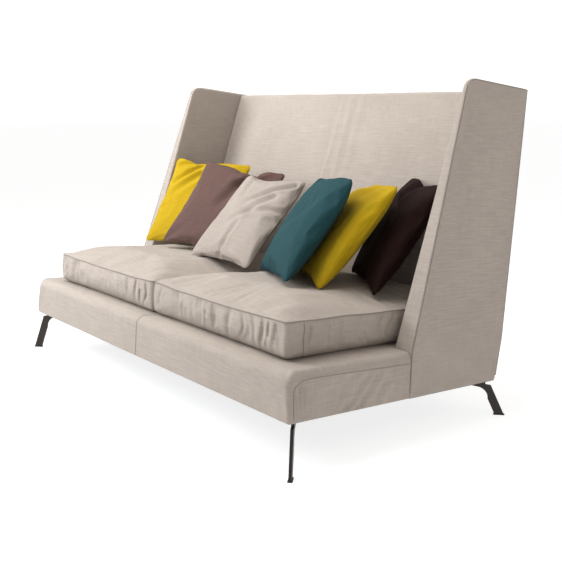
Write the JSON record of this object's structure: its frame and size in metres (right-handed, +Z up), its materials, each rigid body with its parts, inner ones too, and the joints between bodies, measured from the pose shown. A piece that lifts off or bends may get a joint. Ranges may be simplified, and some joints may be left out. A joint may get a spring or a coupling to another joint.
{
  "type": "two-seater sofa",
  "caption": "High-backed winged sofa on splayed blade legs, with loose seat cushions and loose scatter cushions propped on the seat.",
  "frame": {"origin": "on the floor, at the middle of the sofa's footprint", "axes": "+X across the sofa, towards the wing on the right of the picture; +Y from the front towards the backrest; +Z up"},
  "size_m": [1.9146, 1.1298, 1.1717],
  "materials": {
    "body_fabric": "woven linen",
    "welt_fabric": "flat corded seam",
    "yellow_fabric": "smooth woven cotton",
    "mauve_fabric": "smooth woven cotton",
    "cream_fabric": "smooth woven cotton",
    "teal_fabric": "smooth woven cotton",
    "brown_fabric": "smooth woven cotton",
    "leg_metal": "satin powder coat",
    "glide_plastic": "matte",
    "fastener_steel": "zinc plated",
    "webbing": "elasticated webbing",
    "foam": "open-cell foam",
    "underlining_fabric": "non-woven lining",
    "timber": "planed and unfinished"
  },
  "bodies": {
    "frame": {"back_board": "timber", "back_bottom_rail": "timber", "back_cover": "body_fabric", "back_foam": "foam", "back_joint_bolts": "fastener_steel", "back_rib_centre": "timber", "back_rib_left": "timber", "back_rib_right": "timber", "back_top_rail": "timber", "back_underlining": "underlining_fabric", "base_centre_rail": "timber", "base_cover": "body_fabric", "base_front_rail": "timber", "base_rear_rail": "timber", "base_side_rail_left": "timber", "base_side_rail_right": "timber", "dust_cover": "underlining_fabric", "front_corner_block_left": "timber", "front_corner_block_right": "timber", "leg_front_left": "leg_metal", "leg_front_right": "leg_metal", "leg_glides": "glide_plastic", "leg_rear_left": "leg_metal", "leg_rear_right": "leg_metal", "leg_screws": "fastener_steel", "seat_platform_foam": "foam", "seat_webbing": "webbing", "wing_board_left": "timber", "wing_board_right": "timber", "wing_cover_left": "body_fabric", "wing_cover_right": "body_fabric", "wing_padding_left": "foam", "wing_padding_right": "foam", "wing_rear_block_left": "timber", "wing_rear_block_right": "timber", "wing_underlining_left": "underlining_fabric", "wing_underlining_right": "underlining_fabric", "wing_welt_left": "welt_fabric", "wing_welt_right": "welt_fabric"},
    "scatter_cushion_brown": {"scatter_cushion_brown": "brown_fabric"},
    "scatter_cushion_cream": {"scatter_cushion_cream": "cream_fabric"},
    "scatter_cushion_mauve": {"scatter_cushion_mauve": "mauve_fabric"},
    "scatter_cushion_teal": {"scatter_cushion_teal": "teal_fabric"},
    "scatter_cushion_yellow_left": {"scatter_cushion_yellow_left": "yellow_fabric"},
    "scatter_cushion_yellow_right": {"scatter_cushion_yellow_right": "yellow_fabric"},
    "seat_cushion_left": {"seat_cushion_left": "body_fabric"},
    "seat_cushion_right": {"seat_cushion_right": "body_fabric"}
  },
  "joints": [
    {"name": "seat_cushion_left_slide", "type": "slide", "parent": "frame", "child": "seat_cushion_left", "axis": [0, -0.9991, 0.0415], "range_m": [0, 0.85]},
    {"name": "seat_cushion_right_slide", "type": "slide", "parent": "frame", "child": "seat_cushion_right", "axis": [0, -0.9991, 0.0415], "range_m": [0, 0.85]},
    {"name": "scatter_cushion_yellow_left_lift", "type": "slide", "parent": "frame", "child": "scatter_cushion_yellow_left", "axis": [0, -0.4636, 0.886], "range_m": [0, 0.9]},
    {"name": "scatter_cushion_mauve_lift", "type": "slide", "parent": "scatter_cushion_yellow_left", "child": "scatter_cushion_mauve", "axis": [0, -0.4636, 0.886], "range_m": [0, 0.9]},
    {"name": "scatter_cushion_cream_lift", "type": "slide", "parent": "scatter_cushion_mauve", "child": "scatter_cushion_cream", "axis": [0, -0.4636, 0.886], "range_m": [0, 0.9]},
    {"name": "scatter_cushion_brown_lift", "type": "slide", "parent": "frame", "child": "scatter_cushion_brown", "axis": [0, -0.4636, 0.886], "range_m": [0, 0.9]},
    {"name": "scatter_cushion_yellow_right_lift", "type": "slide", "parent": "scatter_cushion_brown", "child": "scatter_cushion_yellow_right", "axis": [0, -0.4636, 0.886], "range_m": [0, 0.9]},
    {"name": "scatter_cushion_teal_lift", "type": "slide", "parent": "scatter_cushion_yellow_right", "child": "scatter_cushion_teal", "axis": [0, -0.4636, 0.886], "range_m": [0, 0.9]}
  ]
}
